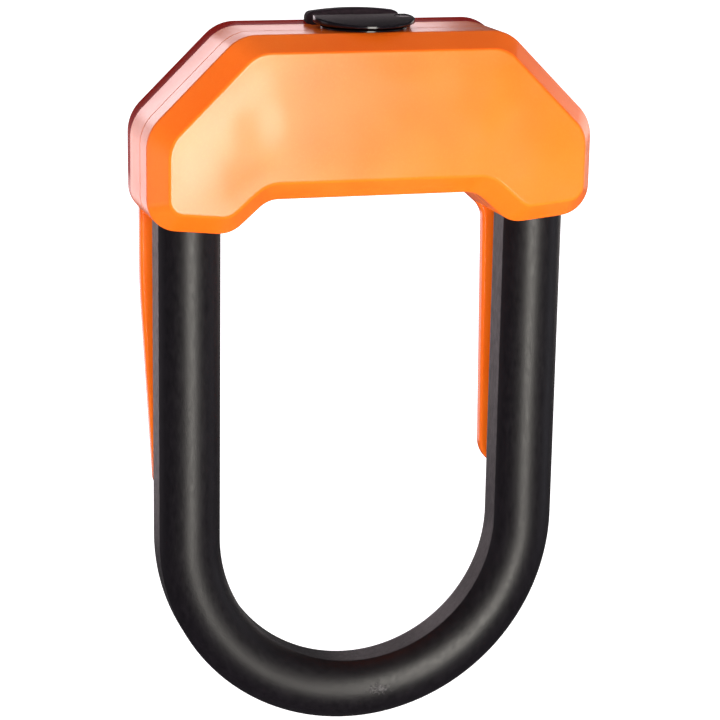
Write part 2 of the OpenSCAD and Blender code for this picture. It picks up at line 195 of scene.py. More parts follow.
def shade(obj, sharp_deg=32):
    obj.data.polygons.foreach_set("use_smooth", [True] * len(obj.data.polygons))
    obj.data.set_sharp_from_angle(angle=math.radians(sharp_deg))


def weighted_normals(obj):
    mod = obj.modifiers.new("weighted", "WEIGHTED_NORMAL")
    mod.keep_sharp = True
    mod.weight = 80
    return obj


def bridge(bm, ring_a, ring_b):
    count = len(ring_a)
    for i in range(count):
        j = (i + 1) % count
        quad = [ring_a[i], ring_a[j], ring_b[j], ring_b[i]]
        if len(set(quad)) == 4:
            bm.faces.new(quad)


def cap_flat(bm, ring):
    bm.faces.new(ring)


def cap_fine(bm, ring, plane, place, spacing, margin):
    """Fills a ring with an even triangle mesh. plane(vertex) gives 2-D, place(u, v, depth) gives 3-D."""
    edge = [Vector(plane(v.co)) for v in ring]
    poly = np.array(edge)
    low, high = poly.min(0), poly.max(0)
    inner = []
    seg_a, seg_b = poly, np.roll(poly, -1, axis=0)

    def distance(p):
        along = seg_b - seg_a
        t = np.clip(((p - seg_a) * along).sum(1) / np.maximum((along ** 2).sum(1), 1e-9), 0, 1)
        return np.sqrt((((seg_a + along * t[:, None]) - p) ** 2).sum(1)).min()

    def inside(p):
        hit = (seg_a[:, 1] > p[1]) != (seg_b[:, 1] > p[1])
        with np.errstate(divide="ignore", invalid="ignore"):
            x = seg_a[:, 0] + (p[1] - seg_a[:, 1]) * (seg_b[:, 0] - seg_a[:, 0]) / (seg_b[:, 1] - seg_a[:, 1])
        return np.count_nonzero(hit & (p[0] < x)) % 2 == 1

    rows = int((high[1] - low[1]) / (spacing * 0.866))
    for r in range(1, rows + 1):
        shift = spacing / 2 if r % 2 else 0.0
        z = low[1] + r * spacing * 0.866
        for x in np.arange(low[0] + shift, high[0], spacing):
            p = np.array([x, z])
            if inside(p) and distance(p) > margin:
                inner.append(p)
    verts = edge + [Vector(p) for p in inner]
    count = len(edge)
    out, _, faces, origin, _, _ = delaunay_2d_cdt(
        verts, [(i, (i + 1) % count) for i in range(count)], [], 1, 1e-5)
    made = []
    for i, p in enumerate(out):
        source = [k for k in origin[i] if k < count]
        if source:
            made.append(ring[source[0]])
        else:
            made.append(bm.verts.new(place(p[0], p[1], distance(np.array(p)))))
    for face in faces:
        corners = [made[k] for k in face]
        if len(set(corners)) == 3:
            bm.faces.new(corners)


def ring_verts(bm, points):
    return [bm.verts.new(p) for p in points]


def case_skin(name, outer, inner, crown, lip=lambda y: 0.0):
    """Shell of the case: outer profile from its flat face to the seam, then the inner one back."""
    bm = bmesh.new()
    rings = []
    for y, inset in outer:
        rings.append(ring_verts(bm, [(x, y, z) for x, z in case_ring(inset, lip(y))]))
    for y, inset in inner:
        rings.append(ring_verts(bm, [(x, y, z) for x, z in case_ring(inset)]))
    for a, b in zip(rings, rings[1:]):
        bridge(bm, a, b)
    face_y = outer[0][0]
    cap_fine(bm, rings[0], lambda c: (c.x, c.z),
             lambda x, z, depth: (x, face_y + crown * (1 - math.exp(-depth / 9)), z), 3.0, 1.4)
    back_y = inner[-1][0]
    cap_fine(bm, rings[-1], lambda c: (c.x, c.z), lambda x, z, depth: (x, back_y, z), 7.0, 3.0)
    return finish_mesh(name, bm)


def profile(points, steps=6):
    return [(float(p[0]), float(p[1])) for p in rounded(points, steps, closed=False)]


def prism(name, ring, low, high, axis="z"):
    """Straight prism over a ring of 2-D points, for cutting tools."""
    bm = bmesh.new()

    def place(p, depth):
        return (p[0], depth, p[1]) if axis == "y" else (p[0], p[1], depth)

    lower = ring_verts(bm, [place(p, low) for p in ring])
    upper = ring_verts(bm, [place(p, high) for p in ring])
    bridge(bm, lower, upper)
    cap_flat(bm, lower)
    cap_flat(bm, upper)
    return finish_mesh(name, bm)


def circle(x, y, radius, count=64):
    return [np.array([x, y]) + radius * direction(2 * math.pi * k / count) for k in range(count)]


def block(x0, x1, y0, y1):
    """Rectangle whose edges are cut short enough for a clean boolean."""
    return subdivide([np.array(p) for p in ((x0, y0), (x1, y0), (x1, y1), (x0, y1))], 50)


def mirrored(ring):
    return [np.array([-p[0], p[1]]) for p in reversed(ring)]


def boolean(obj, tools, operation="DIFFERENCE"):
    """Applies the tools to the object with the exact solver and drops them."""
    for tool in tools:
        mod = obj.modifiers.new("cut", "BOOLEAN")
        mod.operation = operation
        mod.solver = "EXACT"
        mod.object = tool
        graph = bpy.context.evaluated_depsgraph_get()
        mesh = bpy.data.meshes.new_from_object(obj.evaluated_get(graph))
        obj.modifiers.clear()
        old = obj.data
        obj.data = mesh
        bpy.data.meshes.remove(old)
        bpy.data.objects.remove(tool)
    shade(obj)
    return obj


def revolve(name, points, steps=96, centre=(0.0, 0.0)):
    """Turns a closed (radius, z) outline round the vertical through centre."""
    bm = bmesh.new()
    rings = []
    for k in range(steps):
        a = 2 * math.pi * k / steps
        rings.append([bm.verts.new((centre[0] + p[0] * math.cos(a), centre[1] + p[0] * math.sin(a), p[1]))
                      for p in points])
    for k in range(steps):
        bridge(bm, rings[k], rings[(k + 1) % steps])
    return finish_mesh(name, bm)


# ---- Sleeve section ----


def sleeve_quarter(grow, soft, flat_steps=6, arc_steps=20):
    """From the middle of a flat side, over its softened edge, to the middle of the round side."""
    r, half = SLEEVE_DEPTH / 2 + grow, SLEEVE_W / 2 + grow
    # The softening circle touches the flat and the round side from within
    cx = half - soft
    reach = r - soft
    cy = math.sqrt(reach ** 2 - cx ** 2)
    start = math.atan2(cy, cx)
    quarter = [np.array([half, cy * k / flat_steps]) for k in range(flat_steps)]
    quarter += [np.array([cx + soft * math.cos(start * k / 5), cy + soft * math.sin(start * k / 5)])
                for k in range(5)]
    quarter += [np.array([r * math.cos(start + (math.pi / 2 - start) * k / arc_steps),
                          r * math.sin(start + (math.pi / 2 - start) * k / arc_steps)])
                for k in range(arc_steps + 1)]
    return quarter[:-1] + [np.array([0.0, r])]


def sleeve_section(grow=0.0, front_soft=1.1, rear_soft=3.2):
    """Round front and back, flat sides, with the four edges between them softened."""
    rear, fore = sleeve_quarter(grow, rear_soft), sleeve_quarter(grow, front_soft)
    section = rear + [np.array([-p[0], p[1]]) for p in reversed(rear[:-1])]
    section += [np.array([-p[0], -p[1]]) for p in fore[1:]]
    return section + [np.array([p[0], -p[1]]) for p in reversed(fore[1:-1])]


def u_path(leg_step=4.0, bend_steps=72):
    """Stations down one leg, round the bend and up the other: centre and outward direction."""
    stations = []
    legs = math.ceil((SLEEVE_TOP - BEND_Z) / leg_step)
    for k in range(legs):
        z = SLEEVE_TOP + (BEND_Z - SLEEVE_TOP) * k / legs
        stations.append((np.array([LEG_X, 0.0, z]), np.array([1.0, 0.0, 0.0])))
    for k in range(bend_steps + 1):
        a = -math.pi * k / bend_steps
        out = np.array([math.cos(a), 0.0, math.sin(a)])
        stations.append((np.array([0.0, 0.0, BEND_Z]) + LEG_X * out, out))
    for k in range(1, legs + 1):
        z = BEND_Z + (SLEEVE_TOP - BEND_Z) * k / legs
        stations.append((np.array([-LEG_X, 0.0, z]), np.array([-1.0, 0.0, 0.0])))
    return stations


def build_sleeve():
    bm = bmesh.new()
    section = sleeve_section()
    bore = circle(0, 0, BAR_R + BAR_FIT, len(section))
    stations = u_path()
    depth = np.array([0.0, 1.0, 0.0])
    outer, inner = [], []
    for centre, out in stations:
        outer.append(ring_verts(bm, [centre + out * p[0] + depth * p[1] for p in section]))
        inner.append(ring_verts(bm, [centre + out * p[0] + depth * p[1] for p in bore]))
    for tube in (outer, inner):
        for a, b in zip(tube, tube[1:]):
            bridge(bm, a, b)
    for end in (0, -1):
        bridge(bm, outer[end], inner[end])
    return finish_mesh("sleeve", bm)


# ---- Case covers ----

MOUTH_GAP = 0.35
BEZEL_CUT_R = 11.5
UPPER_SCREW = (22.0, 41.0)
LOWER_SCREW = (34.0, 26.5)
# The face is flat at its edge and rises a little towards the middle
FACE_Y = FRONT_Y + 0.4
BEVEL_FOOT_Y = -12.4
# The rear cover's side grows outwards to a lip before it turns in to the back
LIP_START, LIP_END, LIP_OUT = 10.2, 15.2, 0.8
PRONG_DEPTH = 3.8
PRONG_SOFT = 0.9


def mouth_tools():
    ring = [p + np.array([LEG_X, 0.0]) for p in sleeve_section(MOUTH_GAP)]
    return [prism("mouth_a", ring, -12, 9.5), prism("mouth_b", mirrored(ring), -12, 9.5)]


def bezel_tool():
    return prism("bezel_cut", circle(0, 0, BEZEL_CUT_R), 45, 65)


def build_front():
    outer = profile([
        (FACE_Y, 8.2, 0), (FACE_Y, FACE_INSET, 1.3), (BEVEL_FOOT_Y, 0.0, 1.6), (SEAM_Y - 0.3, 0.0, 0),
        (SEAM_Y, SEAM_ROUND, 0)])
    tongue, tongue_y = WALL / 2 - STEP_GAP, SEAM_Y - STEP_DEPTH - 0.1
    inner = profile([
        (SEAM_Y, tongue, 0), (tongue_y, tongue, 0), (tongue_y, WALL, 0),
        (BEVEL_FOOT_Y + 1.0, WALL, 0), (FRONT_Y + WALL, 7.0, 0)])
    cover = case_skin("front_shell", outer, inner, FRONT_Y - FACE_Y)
    boolean(cover, mouth_tools() + [bezel_tool()])
    return cover


def prong_mesh(side):
    """One carry prong with rounded edges; side is 1 for +X and -1 for -X."""
    outline = rounded([
        (30.0, 9.0, 0), (62.0, 9.0, 0), (62.0, -22.0, 300.0), (58.2, PRONG_Z, 4.5), (43.7, PRONG_Z, 8.8),
        (42.4, -3.1, 7.0), (32.6, 5.5, 0)], 12)
    outline = subdivide(outline, 4.0)
    if side < 0:
        outline = mirrored(outline)
    bm = bmesh.new()
    y1 = REAR_Y - 0.2
    y0 = y1 - PRONG_DEPTH
    ring = np.array(outline)
    ahead = np.roll(ring, -1, axis=0)
    area = (ring[:, 0] * ahead[:, 1] - ahead[:, 0] * ring[:, 1]).sum()
    tangents = ahead - np.roll(ring, 1, axis=0)
    tangents /= np.linalg.norm(tangents, axis=1)[:, None]
    inwards = np.sign(area) * np.stack([-tangents[:, 1], tangents[:, 0]], axis=1)
    levels = []
    for k in range(7):
        a = math.pi / 2 * k / 6
        levels.append((y0 + PRONG_SOFT * (1 - math.sin(a)), PRONG_SOFT * (1 - math.cos(a))))
    levels = levels[::-1] + [(y1 - (y - y0), d) for y, d in levels]
    rings = []
    for y, inset in levels:
        rings.append(ring_verts(bm, [(x, y, z) for x, z in ring + inwards * inset]))
    for a, b in zip(rings, rings[1:]):
        bridge(bm, a, b)
    cap_flat(bm, rings[0])
    cap_flat(bm, rings[-1])
    return finish_mesh("prong", bm)


def lip(y):
    return LIP_OUT * max(0.0, min(1.0, (y - LIP_START) / (LIP_END - LIP_START)))


def build_rear():
    outer = profile([
        (REAR_Y, 7.0, 0), (REAR_Y, 2.3, 0.8), (LIP_END, 0.0, 0.9), (LIP_START, 0.0, 0),
        (SEAM_Y + 0.3, 0.0, 0), (SEAM_Y, SEAM_ROUND, 0)])
    step_y = SEAM_Y - STEP_DEPTH
    inner = profile([
        (SEAM_Y, WALL / 2, 0), (step_y, WALL / 2, 0), (step_y, WALL, 0),
        (REAR_Y - WALL - 1.5, WALL, 0), (REAR_Y - WALL, WALL + 2.0, 0)])
    cover = case_skin("rear_shell", outer, inner, 0.0, lip)
    boolean(cover, [prong_mesh(1), prong_mesh(-1)], "UNION")
    tools = mouth_tools() + [bezel_tool(), prism("seat", block(-13.1, 13.1, 8.0, 20.0), 51.5, 65)]
    for x, z in (UPPER_SCREW, LOWER_SCREW):
        for s in (1, -1):
            tools.append(prism("recess", circle(s * x, z, 3.2, 48), 14.4, 30, "y"))
            tools.append(prism("screw_hole", circle(s * x, z, 1.8, 32), 5, 30, "y"))
    boolean(cover, tools)
    return cover


# ---- Dust cover and bezel ----

CAP_R = 14.5
CAP_CORE_R = 0.02
# How fast the top drops with the square of the distance from the straight rear edge
CAP_FALL = 0.0042
CAP_FLAT_Y = 4.2
PIVOT_X = 11.5
RIVET_HOLE_R = 1.45
HOOD_Y = 9.6
HOOD_BACK_Y = 14.8
BEZEL_R = 11.4
BEZEL_FOOT_Z = 47.2
FLANGE_Z = 53.8
CORE_HOLE_R = 6.0


def build_dust_cover():
    z0, top = cap_low.z, cap_high.z + 0.15
    side = [(CAP_CORE_R, z0, 0), (CAP_R - 0.9, z0, 0.15), (CAP_R, z0 + 0.5, 0.3), (CAP_R, top, 0.45)]
    side += [(radius, top, 0) for radius in (12.0, 9.5, 7.0, 4.5, 2.0, CAP_CORE_R)]
    disc = revolve("cap_disc", profile(side), 160)
    # The top falls away towards the front
    for vertex in disc.data.vertices:
        y = vertex.co.y / MM
        if vertex.co.z > (z0 + 1.2) * MM and y < CAP_FLAT_Y:
            vertex.co.z -= CAP_FALL * (CAP_FLAT_Y - y) ** 2 * MM
    tools = [prism("flat", block(-20.0, 20.0, CAP_FLAT_Y, 30.0), 50, 60),
             prism("pivot", circle(PIVOT_X, 0, RIVET_HOLE_R, 48), 50, 60),
             prism("rivet_seat", circle(PIVOT_X, 0, 2.4, 48), cap_high.z - 0.8, 60)]
    return boolean(disc, tools)


def build_hood():
    """The raised lip behind the dust cover, crowned along X with all edges rounded."""
    y0, y1 = HOOD_Y, HOOD_BACK_Y
    half, z0, z1 = bezel_high.x, 51.6, bezel_high.z
    crown_r, end_r, top_r = 90.0, 1.6, 1.0
    bm = bmesh.new()
    stations = [(-half + end_r * (1 - math.cos(math.pi / 2 * k / 6)),
                 end_r * (1 - math.sin(math.pi / 2 * k / 6))) for k in range(7)]
    stations += [(-half + end_r + (2 * half - 2 * end_r) * k / 28, 0.0) for k in range(1, 28)]
    stations += [(-x, d) for x, d in reversed(stations[:7])]
    rings = []
    for x, inset in stations:
        top = z1 - (crown_r - math.sqrt(crown_r ** 2 - x ** 2)) - inset * 0.7
        a, b = y0 + inset, y1 - inset * 0.6
        section = rounded([(a, z0, 0), (a, top, top_r), (b, top, top_r), (b, z0, 0)], 6)
        rings.append(ring_verts(bm, [(x, p[0], p[1]) for p in section]))
    for a, b in zip(rings, rings[1:]):
        bridge(bm, a, b)
    cap_flat(bm, rings[0])
    cap_flat(bm, rings[-1])
    return finish_mesh("hood", bm)


def build_bezel():
    seat_z, ceiling_z = TOP_Z + 0.05, 51.8
    flange_r, bore_r = BEZEL_R + 1.0, BEZEL_R - 0.8
    section = rounded([
        (BEZEL_R, BEZEL_FOOT_Z, 0), (BEZEL_R, seat_z, 0), (flange_r, seat_z, 0), (flange_r, FLANGE_Z, 0.2),
        (CORE_HOLE_R + 0.9, FLANGE_Z, 0.3), (CORE_HOLE_R, FLANGE_Z - 0.9, 0.3), (CORE_HOLE_R, ceiling_z, 0),
        (bore_r, ceiling_z, 0), (bore_r, BEZEL_FOOT_Z, 0)], 5)
    flange = revolve("bezel", section, 128)
    boss = prism("boss", circle(PIVOT_X, 0, 2.3, 48), 50.4, 54.28)
    boolean(flange, [build_hood(), boss], "UNION")
    tools = [prism("pin_hole", circle(PIVOT_X, 0, RIVET_HOLE_R, 48), 51.6, 60),
             prism("washer_seat", circle(PIVOT_X, 0, 2.75, 48), 54.0, 60),
             prism("core_hole", circle(0, 0, CORE_HOLE_R, 96), 51.0, 54.0)]
    return boolean(flange, tools)


# ---- Materials ----


class Nodes:
    """A little help for wiring a material's nodes."""

    def __init__(self, name):
        self.material = bpy.data.materials.new(name)
        self.material.use_nodes = True
        self.tree = self.material.node_tree
        self.bsdf = self.tree.nodes["Principled BSDF"]
        self.coords = self.new("ShaderNodeTexCoord").outputs["Object"]

    def new(self, kind, **settings):
        node = self.tree.nodes.new(kind)
        for key, value in settings.items():
            setattr(node, key, value)
        return node

    def link(self, a, b):
        self.tree.links.new(a, b)

    def feed(self, value, socket):
        """Gives a socket another node's output, a plain value or a colour."""
        if isinstance(value, bpy.types.NodeSocket):
            self.link(value, socket)
        elif socket.type == "RGBA":
            socket.default_value = (*value, 1.0)
        else:
            socket.default_value = value

    def split(self, vector):
        node = self.new("ShaderNodeSeparateXYZ")
        self.link(vector, node.inputs["Vector"])
        return node.outputs

    def stretch(self, factors):
        node = self.new("ShaderNodeMapping")
        node.inputs["Scale"].default_value = factors
        self.link(self.coords, node.inputs["Vector"])
        return node.outputs["Vector"]

    def noise(self, feature_mm, detail=3.0, rough=0.55, vector=None):
        """Noise whose blobs are about feature_mm across."""
        node = self.new("ShaderNodeTexNoise")
        node.inputs["Scale"].default_value = 1 / (feature_mm * MM)
        node.inputs["Detail"].default_value = detail
        node.inputs["Roughness"].default_value = rough
        self.link(vector or self.coords, node.inputs["Vector"])
        return node.outputs["Fac"]

    def ramp(self, value, stops):
        node = self.new("ShaderNodeValToRGB")
        ramp = node.color_ramp
        while len(ramp.elements) < len(stops):
            ramp.elements.new(0.5)
        for element, (at, colour) in zip(ramp.elements, stops):
            element.position = at
            element.color = (*colour, 1.0)
        self.link(value, node.inputs["Fac"])
        return node.outputs["Color"]

    def spread(self, value, low, high, start=0.3, end=0.7, shape="LINEAR"):
        """Maps start..end of a value to low..high."""
        node = self.new("ShaderNodeMapRange", interpolation_type=shape)
        for key, number in (("From Min", start), ("From Max", end), ("To Min", low), ("To Max", high)):
            node.inputs[key].default_value = number
        self.feed(value, node.inputs["Value"])
        return node.outputs["Result"]

    def math(self, operation, a, b):
        node = self.new("ShaderNodeMath", operation=operation)
        for socket, value in zip(node.inputs, (a, b)):
            self.feed(value, socket)
        return node.outputs[0]

    def near(self, centre_mm, half_mm, ragged=0.5, amount=0.0, solid=0.75):
        """One inside an ellipsoid, falling to zero at its edge, which a noise may fray."""
        node = self.new("ShaderNodeMapping", vector_type="TEXTURE")
        node.inputs["Location"].default_value = [c * MM for c in centre_mm]
        node.inputs["Scale"].default_value = [h * MM for h in half_mm]
        self.link(self.coords, node.inputs["Vector"])
        length = self.new("ShaderNodeVectorMath", operation="LENGTH")
        self.link(node.outputs["Vector"], length.inputs[0])
        reach = self.math("ADD", length.outputs["Value"], self.spread(ragged, -amount, amount))
        return self.spread(reach, 1.0, 0.0, solid, 1.05, "SMOOTHSTEP")

    def mix(self, factor, a, b):
        node = self.new("ShaderNodeMix", data_type="RGBA")
        # The node's sockets of kind RGBA are numbers 6 and 7, and its colour output number 2
        for socket, value in ((node.inputs[0], factor), (node.inputs[6], a), (node.inputs[7], b)):
            self.feed(value, socket)
        return node.outputs[2]

    def bump(self, height, strength, depth_mm):
        node = self.new("ShaderNodeBump")
        node.inputs["Strength"].default_value = strength
        node.inputs["Distance"].default_value = depth_mm * MM
        self.link(height, node.inputs["Height"])
        previous = self.bsdf.inputs["Normal"]
        if previous.is_linked:
            self.link(previous.links[0].from_socket, node.inputs["Normal"])
        self.link(node.outputs["Normal"], previous)

    def set(self, **values):
        """Sets the surface's inputs, with underscores for the spaces in their names."""
        for key, value in values.items():
            self.feed(value, self.bsdf.inputs[key.replace("_", " ")])


# Shallow sink marks in the front face, by the lower screw bosses
SINK_MARK = (LOWER_SCREW[0] + 2, LOWER_SCREW[1] + 3)
SINK_HALF = (8.5, 6.0, 8.5)
SINK_DEPTH = 0.12
# A short scuff at the lowest part of the bend; its lighter patch is partly wear and partly a painted
# highlight
SCUFF_AND_HIGHLIGHT = (5.3, -9.2, -144.4)
SCUFF_AND_HIGHLIGHT_HALF = (3.6, 4.0, 1.5)


def orange_nylon(painted_shade_rim=False):
    n = Nodes("orange_nylon_painted_shade_rim" if painted_shade_rim else "orange_nylon")
    tone = n.noise(38.0, 2.0)
    flecks = n.noise(0.55, 2.0, 0.6)
    colour = n.ramp(tone, [(0.35, (0.76, 0.118, 0.006)), (0.65, (0.81, 0.145, 0.010))])
    colour = n.mix(n.spread(flecks, 0.0, 0.10, 0.5, 0.75), colour, (0.95, 0.24, 0.03))
    ior = 1.5
    if painted_shade_rim:
        # The lip round the back of the case gets painted shade: a darker red colour, and it is hardly glossy
        at = n.split(n.coords)
        painted_shade_band = n.math("MULTIPLY", n.math("GREATER_THAN", at["Y"], LIP_START * MM),
                      n.math("LESS_THAN", at["Y"], (LIP_END + 0.6) * MM))
        painted_shade_band = n.math("MULTIPLY", painted_shade_band, n.spread(at["Z"], 0.0, 1.0, -0.004, 0.012))
        # Painted shade: the darker red stands in for the shade that falls on the lip
        colour = n.mix(painted_shade_band, colour, (0.30, 0.014, 0.010))
        ior = n.spread(painted_shade_band, ior, 1.03, 0.0, 1.0)
    rough = n.math("ADD", n.spread(n.noise(9.0, 4.0), 0.20, 0.24), n.spread(flecks, -0.01, 0.02))
    n.set(Base_Color=colour, Roughness=rough, IOR=ior, Subsurface_Weight=0.12, Subsurface_Scale=0.0025,
          Subsurface_Radius=(1.0, 0.35, 0.12))
    n.bump(n.noise(0.30, 2.0, 0.7), 0.05, 0.04)
    n.bump(n.noise(14.0, 1.0), 0.05, 0.6)
    for x in (-SINK_MARK[0], SINK_MARK[0]):
        n.bump(n.near((x, FRONT_Y, SINK_MARK[1]), SINK_HALF, solid=0.0), 1.0, -SINK_DEPTH)
    return n.material


def sleeve_rubber():
    n = Nodes("sleeve_rubber")
    along = n.stretch((1.0, 1.0, 0.4))
    mottle = n.noise(2.2, 4.0, 0.65, along)
    colour = n.ramp(mottle, [(0.35, (0.0022, 0.0016, 0.0026)), (0.7, (0.0040, 0.0030, 0.0046))])
    rough = n.spread(n.noise(1.1, 3.0, 0.7, along), 0.36, 0.50)
    scuff_and_highlight = n.near(SCUFF_AND_HIGHLIGHT, SCUFF_AND_HIGHLIGHT_HALF, n.noise(0.9, 3.0, 0.7), 0.8, solid=0.1)
    # Lighter patch on the scuff: partly worn rubber, partly a painted highlight
    colour = n.mix(n.math("MULTIPLY", scuff_and_highlight, 0.45), colour, (0.10, 0.095, 0.10))
    n.set(Base_Color=colour, Roughness=rough, IOR=1.45)
    n.bump(scuff_and_highlight, 0.5, 0.15)
    n.bump(n.noise(0.35, 3.0, 0.7), 0.28, 0.06)
    n.bump(mottle, 0.10, 0.08)
    return n.material


def cap_plastic():
    n = Nodes("cap_plastic")
    colour = n.ramp(n.noise(1.5, 3.0), [(0.3, (0.004, 0.003, 0.005)), (0.7, (0.007, 0.006, 0.008))])
    # The top is a fine matt, the rim is polished
    normal = n.split(n.new("ShaderNodeNewGeometry").outputs["Normal"])
    matt = n.spread(normal["Z"], 0.0, 1.0, 0.93, 0.985)
    rough = n.math("ADD", n.spread(n.noise(0.8, 3.0), 0.12, 0.18), n.math("MULTIPLY", matt, 0.25))
    n.set(Base_Color=colour, Roughness=rough, IOR=n.spread(matt, 1.42, 1.06, 0.0, 1.0))
    n.bump(n.noise(0.25, 2.0), 0.06, 0.03)
    return n.material


def hood_plastic():
    n = Nodes("hood_plastic")
    colour = n.ramp(n.noise(1.2, 3.0), [(0.3, (0.016, 0.008, 0.013)), (0.7, (0.028, 0.015, 0.022))])
    n.set(Base_Color=colour, Roughness=n.spread(n.noise(0.6, 3.0), 0.62, 0.75), IOR=1.3)
    n.bump(n.noise(0.22, 2.0), 0.35, 0.05)
    return n.material


def metal(name, dark, light, rough, grain=(1.0, 1.0, 1.0), feature_mm=0.6):
    """Machined or plated metal: a grain stretched along one axis, and duller patches."""
    n = Nodes(name)
    lines = n.noise(feature_mm, 4.0, 0.7, n.stretch(grain))
    patches = n.noise(8.0, 3.0)
    colour = n.mix(n.spread(patches, 0.0, 1.0), dark, light)
    value = n.math("ADD", n.spread(lines, rough - 0.06, rough + 0.06), n.spread(patches, -0.03, 0.05))
    n.set(Base_Color=colour, Metallic=1.0, Roughness=value)
    n.bump(lines, 0.15, 0.04)
    return n.material


def plain_polymer(name, dark, light, rough, feature_mm, subsurface=0.0):
    """Moulded plastic or rubber with a faint grain."""
    n = Nodes(name)
    colour = n.mix(n.spread(n.noise(feature_mm * 4, 3.0), 0.0, 1.0), dark, light)
    n.set(Base_Color=colour, Roughness=n.spread(n.noise(feature_mm, 3.0), rough - 0.05, rough + 0.07),
          Subsurface_Weight=subsurface, Subsurface_Scale=0.001)
    n.bump(n.noise(feature_mm * 0.4, 2.0), 0.2, 0.04)
    return n.material


# What the floor gives off to the camera, so that it is as white as the room behind
FLOOR_GLOW = 0.93


def floor_paper():
    n = Nodes("floor_paper")
    colour = n.mix(n.spread(n.noise(60.0, 2.0), 0.0, 1.0), (0.80, 0.80, 0.80), (0.83, 0.83, 0.83))
    n.set(Base_Color=colour, Roughness=0.9)
    n.bsdf.inputs["Emission Color"].default_value = (1.0, 1.0, 1.0, 1.0)
    glow = n.math("MULTIPLY", n.new("ShaderNodeLightPath").outputs["Is Camera Ray"], FLOOR_GLOW)
    n.link(glow, n.bsdf.inputs["Emission Strength"])
    return n.material


METALS = dict(
    hardened=lambda: metal("hardened_steel", (0.13, 0.13, 0.14), (0.20, 0.20, 0.21), 0.42, (1, 1, 0.2)),
    bright=lambda: metal("bright_steel", (0.55, 0.56, 0.58), (0.66, 0.67, 0.69), 0.24, (0.15, 1, 1), 0.4),
    plated=lambda: metal("plated_bar", (0.50, 0.51, 0.53), (0.60, 0.61, 0.63), 0.20, (1, 1, 0.08), 0.35),
    oxide=lambda: metal("black_oxide", (0.045, 0.045, 0.05), (0.08, 0.08, 0.085), 0.40),
    brass=lambda: metal("cylinder_brass", (0.62, 0.44, 0.16), (0.74, 0.55, 0.23), 0.28, (1, 1, 0.15), 0.4))


# ---- Pieces ----


def place(obj, material, body, slot_name, node):
    """Gives a piece its material and body, in place of the CAD node it stands for."""
    obj.data.materials.clear()
    obj.data.materials.append(material)
    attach(obj, body)
    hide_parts(node)
    return obj


front = place(build_front(), orange_nylon(), "lock_body", "orange_nylon", "front_cover")
rear = place(build_rear(), orange_nylon(painted_shade_rim=True), "lock_body", "orange_nylon", "rear_cover")
sleeve = place(build_sleeve(), sleeve_rubber(), "shackle", "sleeve_rubber", "shackle_sleeve")
disc = place(build_dust_cover(), cap_plastic(), "keyway_cover", "cap_plastic", "dust_cover")
bezel = place(build_bezel(), hood_plastic(), "lock_body", "cap_plastic", "keyhole_bezel")
# The hood is grained, the rest of the bezel is as glossy as the cap
bezel.data.materials.append(disc.data.materials[0])
for face in bezel.data.polygons:
    face.material_index = 0 if face.center.y > (HOOD_Y - 0.2) * MM else 1
for obj in (front, rear, sleeve, disc, bezel):
    weighted_normals(obj)

made = {key: maker() for key, maker in METALS.items()}
made["natural"] = plain_polymer("natural_nylon", (0.72, 0.69, 0.60), (0.80, 0.77, 0.69), 0.42, 1.0, 0.1)
made["seal"] = plain_polymer("seal_rubber", (0.012, 0.012, 0.013), (0.024, 0.024, 0.026), 0.62, 0.6)

# Material of each CAD piece that is shown as it comes
CARRIED = {
    "hardened": ["crossbar", "drill_plate"],
    "bright": ["base_plate", "bolt_left", "bolt_right", "cylinder_pins", "drive_cam", "lock_discs",
               "sidebar", "core_clip", "dust_cover_washer"],
    "plated": ["shackle_bar"],
    "oxide": ["cover_screws", "plate_screws", "dust_cover_rivet"],
    "brass": ["lock_cylinder", "cylinder_core", "screw_inserts"],
    "natural": ["leg_bush_left", "leg_bush_right", "disc_spacers"],
    "seal": ["leg_seal_left", "leg_seal_right"]}
# Width of the softened edges of carried-over CAD pieces
EASED = {"shackle_bar": 0.35, "crossbar": 0.4, "bolt_left": 0.25, "bolt_right": 0.25, "cover_screws": 0.2,
         "dust_cover_rivet": 0.12, "lock_cylinder": 0.2}

for key, names in CARRIED.items():
    for name in names:
        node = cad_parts[name]
        node.data.materials.clear()
        node.data.materials.append(made[key])
        if name in EASED:
            weld = node.modifiers.new("weld", "WELD")
            weld.merge_threshold = 1e-6
            ease = node.modifiers.new("ease", "BEVEL")
            ease.width = EASED[name] * MM
            ease.segments = 3
            ease.limit_method = "ANGLE"
            ease.angle_limit = math.radians(35)
            ease.harden_normals = False

# ---- Stage, lights and camera ----


SHACKLE_TRAVEL = 50.0
FLOOR_HALF_M = 9.0
AMBIENT = 0.5


def make_floor():
    # Just under the shackle when it's pulled right out
    z = (sleeve_low.z - SHACKLE_TRAVEL - 0.4) * MM
    bm = bmesh.new()
    bmesh.ops.create_grid(bm, x_segments=12, y_segments=12, size=FLOOR_HALF_M)
    bmesh.ops.translate(bm, vec=(0, 0, z), verts=bm.verts)
    mesh = bpy.data.meshes.new("floor")
    bm.to_mesh(mesh)
    bm.free()
    floor = bpy.data.objects.new("floor", mesh)
    bpy.context.scene.collection.objects.link(floor)
    floor.data.materials.append(floor_paper())
    # The lamps stand partly below the floor's level, and the lock doesn't mirror the floor
    floor.visible_shadow = False
    floor.visible_glossy = False


def area_light(name, place_m, target_m, width, height, power, colour):
    data = bpy.data.lights.new(name, "AREA")
    data.shape = "RECTANGLE"
    data.size, data.size_y = width, height
    data.energy = power
    data.color = colour
    light = bpy.data.objects.new(name, data)
    light.location = place_m
    aim = Vector(target_m) - Vector(place_m)
    light.rotation_mode = "QUATERNION"
    light.rotation_quaternion = aim.to_track_quat("-Z", "Y")
    light.visible_camera = False
    bpy.context.scene.collection.objects.link(light)
    return light


